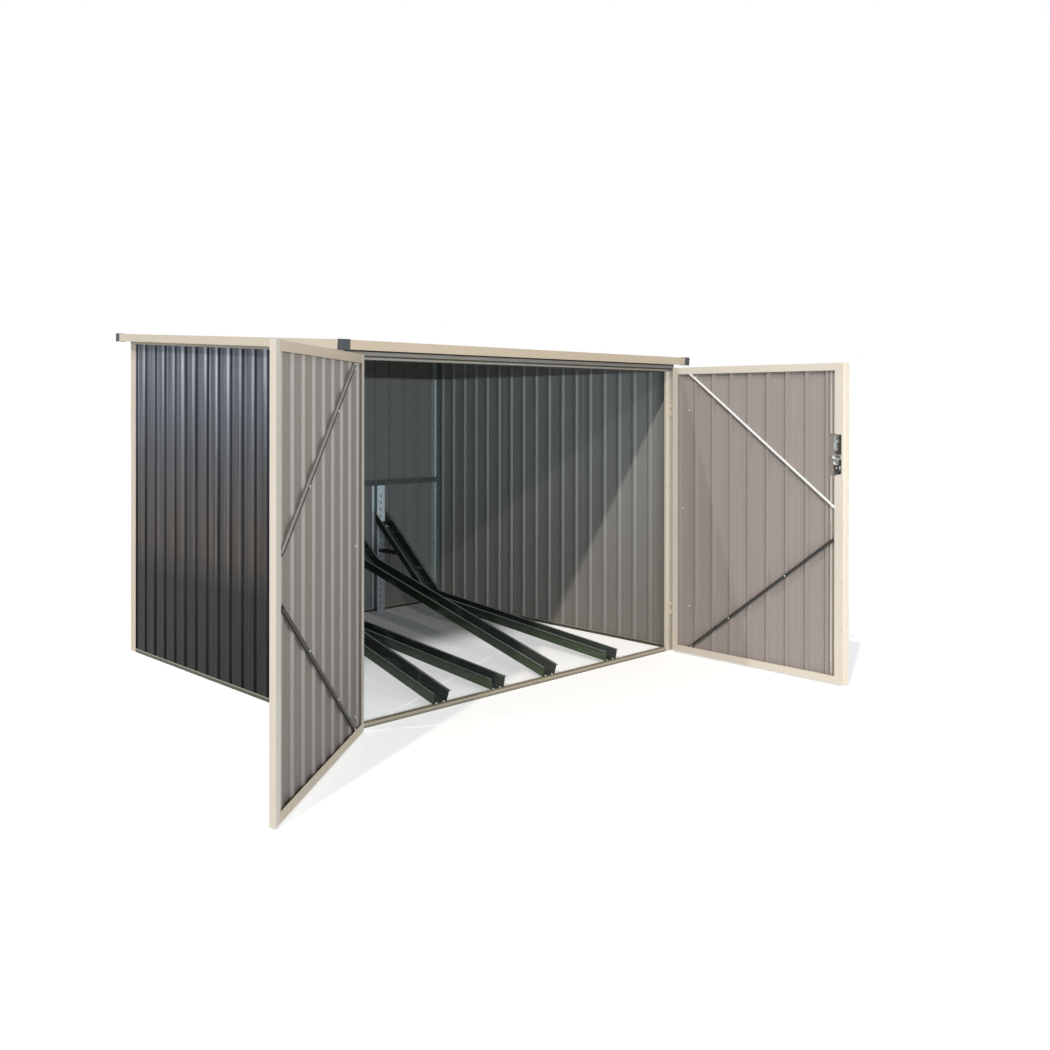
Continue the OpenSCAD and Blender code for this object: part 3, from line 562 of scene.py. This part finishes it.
caps, rack, zinc, oxideAndShade = capMaterial(), rackMaterial(), zincMaterial(), oxideAndShadeMaterial()
trim = trimMaterial("creamPowderCoat", trimLook)
sillCoat = trimMaterial("sillCoatDarkBelowEdge", sillLook)
baseCoat = trimMaterial("channelCoatShadedBelowEdge", baseLook)
doorCoat = trimMaterial("paleCreamPowderCoat", doorTrimLook)
shadedFrontCoat = trimMaterial("shadedCreamPowderCoat", frontTrimLook)
shadedLeftCoat = trimMaterial("shadedGreyCreamPowderCoat", leftTrimLook)
lipCoat = trimMaterial("paleGreyBackingCoat", lipLook)
lipHighlightCoat = trimMaterial("paintedHighlightEdge", lipHighlightLook)
angleSteel = galvanisedMaterial("paleGreyGalvanisedSteel", angleLook)
finish = {
    "left_wall": sheetMaterial("sheetLeftWall", (0, 1, 0), (-1, 0, 0), *ribs["side"], wallBack),
    "right_wall": sheetMaterial("sheetRightWall", (0, 1, 0), (1, 0, 0), *ribs["side"], wallBack),
    "back_wall": sheetMaterial("sheetBackWall", (1, 0, 0), (0, 1, 0), *ribs["back"], shadedBackWallCoat),
    "roof_sheets": sheetMaterial("sheetRoof", (1, 0, 0), (0, 0, 1), *ribs["roof"], shadedRoofCoat,
                                 height=ribs["roofTone"], ribAxis=1),
    "left_panel": doorSheet("sheetLeftDoor", "left", leftBack),
    "right_panel": doorSheet("sheetRightDoor", "right", rightBack),
    "corner_caps": caps, "front_header": headerMaterial(), "front_fascia": shadedFrontCoat, "front_sill": sillCoat,
    "left_base": baseCoat, "right_base": baseCoat, "back_base": baseCoat,
    "left_stiles": shadedLeftCoat, "left_rails": shadedFrontCoat, "right_stiles": doorCoat, "right_rails": doorCoat,
    "rack_posts": galvanisedMaterial("galvanisedSteel", galvanisedLook),
    "back_girt": galvanisedMaterial("darkGalvanisedSteel", shadedRailLook),
    "left_braces": tubeMaterial("drawnTubeLeft", leftTubeLook),
    "right_braces": tubeMaterial("drawnTubeRight", rightTubeLook),
    "right_latch": oxideAndShade, "rack_struts": rack,
}
for i in range(1, 5):
    finish[f"wheel_track_{i}"] = finish[f"wheel_cradle_{i}"] = rack
for name, node in nodes.items():
    node.data.materials.clear()
    node.data.materials.append(finish.get(name, trim))
print("materials on", len(nodes), "nodes")


def gridFaces(rows, cols, ring=True):  # quads of a grid of points, whose columns may close into a ring
    i, j = np.meshgrid(np.arange(rows - 1), np.arange(cols if ring else cols - 1), indexing="ij")
    k = (j + 1) % cols
    return np.stack([i * cols + j, i * cols + k, (i + 1) * cols + k, (i + 1) * cols + j], -1).reshape(-1, 4)


def makePiece(name, body, mat, points, faces, smooth=True):  # points in metres; it rides on its body
    data = bpy.data.meshes.new(name)
    data.from_pydata(points.reshape(-1, 3).tolist(), [], faces)
    data.update()
    data.polygons.foreach_set("use_smooth", np.full(len(faces), smooth))
    data.materials.append(mat)
    piece = bpy.data.objects.new(name, data)
    scene.collection.objects.link(piece)
    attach(piece, body)


def turned(profile, sides):  # a profile of radius r and height h turned about its axis: (r cos a, r sin a, h)
    a = np.linspace(0, 2 * math.pi, sides, endpoint=False)
    r, h = np.array(profile, float).T[:, :, None]
    return np.stack([r * np.cos(a), r * np.sin(a), h + 0 * a], -1)


def stadium(width, length, height, sides):
    # a slot outline: half circles of the width, pushed apart along y, and drawn in a little as it rises
    a = np.linspace(0, 2 * math.pi, sides, endpoint=False)
    push = np.sign(np.sin(a)) * (length - width) / 2
    ring = np.stack([np.cos(a) * width / 2, np.sin(a) * width / 2 + push, 0 * a], -1)
    drawIn = (0.86, 0.94, 1)
    return np.stack([ring, ring * drawIn + (0, 0, height)])[::-1]


def copiesOf(name, body, mat, shape, places, outward, upward):
    # copies of one shape of rings: place + x side + y up + z out, for whole arrays of places
    places = np.asarray(places, float).reshape(-1, 3)
    out = np.broadcast_to(np.asarray(outward, float), places.shape)
    up = np.broadcast_to(np.asarray(upward, float), places.shape)
    side = np.cross(up, out)
    x, y, z = (shape[..., k].reshape(1, -1, 1) / 1000 for k in range(3))
    points = places[:, None] + x * side[:, None] + y * up[:, None] + z * out[:, None]
    rows, cols = shape.shape[:2]
    shift = np.arange(len(places)) * rows * cols
    quads = (gridFaces(rows, cols)[None] + shift[:, None, None]).reshape(-1, 4)
    crowns = np.arange(cols)[None] + shift[:, None]
    makePiece(name, body, mat, points, quads[:, ::-1].tolist() + crowns.tolist())


# fastener heads, from the crown down to the foot, in millimetres
screwHead = turned([(1.2, 2.6), (2.6, 2.3), (3.6, 1.5), (3.9, 0.9), (5.6, 0.8), (6.0, 0.0)], 12)
rivetHead = turned([(0.8, 1.5), (1.9, 1.2), (2.7, 0.6), (3.0, 0.0)], 10)
boltHead = turned([(1.6, 4.2), (3.6, 3.7), (5.2, 2.6), (5.9, 1.3), (8.2, 1.1), (8.5, 0.0)], 14)

# door hardware, in millimetres along the door from its pin and up from the ground
doorParts = {"panelFace": 0.0, "foldFace": 22.0, "tabFace": 20.8, "tubeFace": 27.8,
             "braceNear": 132, "braceFar": 1094, "braceEdge": 36, "braceMid": 72, "boltRibs": (413.6, 781.7),
             "tabIn": 14, "boltScale": 1.5, "foldAt": 1122.5,
             "rivetRows": (40, 300, 550, 810, 1060, 1410, 1660),
             "slotAt": 1053, "slotFace": 9.6, "slotStep": 17, "slotRows": (60, 800, 1600), "slotCount": 4,
             "slotShape": (2.6, 9, 0.25, 12),
             "screws": {"left": ((70, 850), (70, 90), (70, 1640)),
                        "right": ((69, 1655), (70, 868), (113, 1452), (115, 290))}}


def doorFasteners(side):
    body, d = side + "_door", doorParts
    inward = doorAxes(side)[1]
    foot, top = doors[side]["foot"], doors[side]["top"]
    mid = (foot + top) / 2
    s, z = np.array(d["screws"][side], float).T
    places = doorPoints(side, s, d["panelFace"], z)
    copiesOf(side + "PanelScrews", body, zinc, screwHead, places, inward, upwards)
    for word, near, far in (("Upper", top - d["braceEdge"], mid + d["braceMid"]),
                            ("Lower", foot + d["braceEdge"], mid - d["braceMid"])):
        slope = (far - near) / (d["braceFar"] - d["braceNear"])
        ends = np.array([d["braceNear"] + d["tabIn"], *d["boltRibs"], d["braceFar"] - d["tabIn"]])
        face = np.array([d["tabFace"], d["tubeFace"], d["tubeFace"], d["tabFace"]])
        places = doorPoints(side, ends, face, near + slope * (ends - d["braceNear"]))
        head = rivetHead * d["boltScale"]
        copiesOf(side + word + "BraceBolts", body, zinc, head, places, inward, upwards)
    places = doorPoints(side, d["foldAt"], d["foldFace"], d["rivetRows"])
    copiesOf(side + "FoldRivets", body, sillCoat, rivetHead, places, inward, upwards)
    rows = np.add.outer(np.array(d["slotRows"], float), np.arange(d["slotCount"]) * d["slotStep"]).ravel()
    places = doorPoints(side, d["slotAt"], d["slotFace"], rows)
    # dark slot pads: painted shade in the slots
    copiesOf(side + "StileSlots", body, oxideAndShade, stadium(*d["slotShape"]), places, inward, upwards)


for side in doors:
    doorFasteners(side)

# the folds along the inner edge of each meeting stile: a flange flush with its face, a gap, and a pale lip
stileFold = {"flange": [(1092, 21.9), (1080, 21.9), (1079.2, 21.2), (1079, 2.0)],
             "lip": [(1059, 1.0), (1058.7, 9.0), (1058, 9.6), (1048, 9.6), (1047.3, 9.0), (1047, 1.0)],
             "clear": 41, "lengths": {"left": [(None, None)], "right": [(None, 1108), (1330, None)]}}


def stileFolds(side):
    # a profile of along and through carried straight up the door, one grid for each length
    for word, coat in (("flange", doorCoat if side == "right" else shadedLeftCoat), ("lip", lipCoat)):
        s, t = np.array(stileFold[word]).T
        for i, (low, high) in enumerate(stileFold["lengths"][side]):
            z = np.array([low or doors[side]["foot"] + stileFold["clear"],
                          high or doors[side]["top"] - stileFold["clear"]])
            points = doorPoints(side, s[None], t[None], z[:, None])
            faces = gridFaces(*points.shape[:2], ring=False)[:, ::doors[side]["hand"]].tolist()
            name = f"{side}Stile{word.title()}_{i + 1}"
            makePiece(name, side + "_door", coat, points, faces, smooth=False)


for side in doors:
    stileFolds(side)

# the latch's working parts in the cut-out of the right door's stile, and a dark pad as painted shade in the
# gap
# beside its plate, in millimetres: two ends along the door, two up it, the face that the part stands on, its
# rise, and its steel
latch = {"latchPlate": (1074, 1106, 1238, 1322, 14.0, 6.8, zinc),
         "latchGapShade": (1107, 1119, 1222, 1326, 14.0, 6.9, oxideAndShade),
         "latchBlock": (1066, 1118, 1192, 1221, 14.0, 10.0, zinc),
         "latchKnob": (1076, 1106, 1164, 1190, 14.0, 14.0, zinc),
         "latchCase": (1072, 1119, 1137, 1192, 10.0, 10.9, oxideAndShade),
         "latchPin": (1108, 1114, 1140, 1163, 14.0, 12.0, zinc),
         "latchBolt": (1086, 1098, 1144, 1156, 14.0, 9.5, zinc),
         "latchFoot": (1074, 1116, 1113, 1136, 14.0, 8.0, finish["back_girt"]),
         "latchStud": (1082, 1092, 1281, 1296, 18.0, 6.0, zinc)}
latchPad = {"sides": 24, "drawIn": (1.6, 0.5, 0.0, 0.0), "lift": (1.0, 0.9, 0.7, 0.0)}


def padPoints(side, s0, s1, z0, z1, face, depth):
    # rounded pad: rings of a squared circle |x|^4 + |z|^4 = 1, drawn in as they rise from the face
    a = np.linspace(0, 2 * math.pi, latchPad["sides"], endpoint=False)
    x, z = (np.sign(f) * np.abs(f) ** 0.5 for f in (np.cos(a), np.sin(a)))
    drawIn, lift = (np.array(latchPad[word])[:, None] for word in ("drawIn", "lift"))
    s = (s0 + s1) / 2 + x * ((s1 - s0) / 2 - drawIn)
    up = (z0 + z1) / 2 + z * ((z1 - z0) / 2 - drawIn)
    return doorPoints(side, s, face + lift * depth, up)


for name, (*measures, steel) in latch.items():
    points = padPoints("right", *measures)
    turn = doors["right"]["hand"]
    crown = np.arange(latchPad["sides"])[::turn].tolist()
    faces = gridFaces(*points.shape[:2])[:, ::turn].tolist() + [crown]
    makePiece(name, "right_door", steel, points, faces)
print("door hardware: screws, bolts, rivets, slots, stile folds and latch parts")

# wheel channels in millimetres and degrees, with pairs for the low and the high channels: bolts at the foot,
# the bend and the upper end, slots up the posts, and a bead along each lip, painted pale as a highlight
channel = {"front": 22.0, "base": 22.0, "bend": 0.725 * 2260, "end": 2206.0, "floorThick": 1.5,
           "slope": (5.0, 14.2), "rise": (40.0, 36.0), "boltIn": 14, "boltApart": 24, "boltScale": 0.8,
           "bendBolt": 20, "cradleBolt": 45, "slotShape": (7, 24, 0.3, 16), "slotStep": 48, "slotFrom": 60,
           "slotTo": 40, "lipTop": 55.0, "lipAt": 47.8, "beadWide": 2.6, "beadHigh": 3.2, "beadSteps": 5}


def channelAxes(angle):  # unit vectors along a channel that climbs at an angle, and up out of its floor
    run = np.array([0, math.cos(angle), math.sin(angle)])
    return run, np.array([0, -math.sin(angle), math.cos(angle)])


def channelBolts(i, slope, rise):
    c = channel
    low, high = (np.array(corner) * 1000 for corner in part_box(f"wheel_track_{i}"))
    start = np.array([(low[0] + high[0]) / 2, low[1], low[2]])
    across = np.array([[-1, 0, 0], [1, 0, 0]]) * c["boltApart"]
    run, out = channelAxes(slope)
    foot = start + out * c["floorThick"]
    bendAt = (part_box(f"wheel_cradle_{i}")[0][1] * 1000 - low[1]) / math.cos(slope) - c["bendBolt"]
    places = np.concatenate([foot + run * c["boltIn"] + across, foot + run * bendAt + across])
    head = boltHead * c["boltScale"]
    copiesOf(f"channelBolts_{i}", "shelter", zinc, head, places / 1000, out, run)
    run, out = channelAxes(rise)
    bend = start + np.array([0, 1.0, math.tan(slope)]) * (c["bend"] - low[1])
    length = (c["end"] - c["bend"]) / math.cos(rise)
    places = bend + out * c["floorThick"] + run * (length - c["cradleBolt"]) + across
    copiesOf(f"cradleBolts_{i}", "shelter", zinc, boltHead, places / 1000, out, run)
    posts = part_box("rack_posts")
    heights = np.arange(c["slotFrom"], posts[1][2] * 1000 - c["slotTo"], c["slotStep"]) / 1000
    slots = np.stack(np.broadcast_arrays(start[0] / 1000, posts[0][1], heights), -1)
    shape = stadium(*c["slotShape"])
    # dark slot pads: painted shade in the slots
    copiesOf(f"postSlots_{i}", "shelter", oxideAndShade, shape, slots, (0, -1, 0), upwards)


def channelEdges(i, slope, rise):
    # the lip line: from the front end over the mitre to the post, each point pushed out of the channel floor
    c = channel
    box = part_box(f"wheel_track_{i}")
    middle = (box[0][0] + box[1][0]) * 500
    bendZ = c["base"] + (c["bend"] - c["front"]) * math.tan(slope)
    turn = (slope + rise) / 2
    lean = c["lipTop"] / math.cos((rise - slope) / 2)
    y = np.array([c["front"] - c["lipTop"] * math.sin(slope), c["bend"] - lean * math.sin(turn), c["end"]])
    z = np.array([c["base"] + c["lipTop"] * math.cos(slope), bendZ + lean * math.cos(turn), 0.0])
    z[2] = z[1] + (y[2] - y[1]) * math.tan(rise)
    # a half-round bead, (wide cos a, high sin a), carried along the line on both lips
    a = np.linspace(0, math.pi, c["beadSteps"])
    x = middle + np.array([-c["lipAt"], c["lipAt"]])[:, None, None] + c["beadWide"] * np.cos(a)
    up = z[None, :, None] + c["beadHigh"] * np.sin(a)
    points = np.stack(np.broadcast_arrays(x, y[None, :, None], up), -1) / 1000
    lips, rows, cols = points.shape[:3]
    quads = gridFaces(rows, cols, ring=False)[None] + (np.arange(lips) * rows * cols)[:, None, None]
    makePiece(f"channelEdges_{i}", "shelter", lipHighlightCoat, points, quads.reshape(-1, 4).tolist())


for make in (channelBolts, channelEdges):
    for i in range(1, 5):
        make(i, *(math.radians(channel[word][i % 2]) for word in ("slope", "rise")))
print("rack hardware: bolts, post slots and channel edges")

# the angles in the two rear corners, in millimetres: an L of two legs carried straight up
cornerAngle = {"x": 1177.6, "y": 2247.6, "leg": 46.0, "fold": 2.0, "low": 24.0, "high": 1830.0}
for word, hand in (("Left", -1), ("Right", 1)):
    c = cornerAngle
    x = np.array([c["x"] - c["leg"], c["x"] - c["fold"], c["x"], c["x"]]) * hand
    y = np.array([c["y"], c["y"], c["y"] - c["fold"], c["y"] - c["leg"]])
    z = np.array([[c["low"]], [c["high"]]])
    points = np.stack(np.broadcast_arrays(x[None], y[None], z), -1) / 1000
    faces = gridFaces(*points.shape[:2], ring=False)[:, ::hand].tolist()
    makePiece("rearAngle" + word, "shelter", angleSteel, points, faces)
print("rear angles")

# frame screws in metres across and up, with the face they sit on: splices of header and sill, and the jambs
frameScrews = {"headerScrews": (0.005, ((0.004, 1.728),)),
               "sillScrews": (0.0, ((-0.009, 0.0165), (0.011, 0.0155))),
               "jambScrews": (0.0, ((1.114, 1.552), (1.114, 0.985), (-1.114, 1.552), (-1.114, 0.985)))}
for name, (face, spots) in frameScrews.items():
    x, z = np.array(spots).T
    places = np.stack(np.broadcast_arrays(x, face, z), -1)
    copiesOf(name, "shelter", oxideAndShade, rivetHead, places, (0, -1, 0), upwards)
print("frame screws")
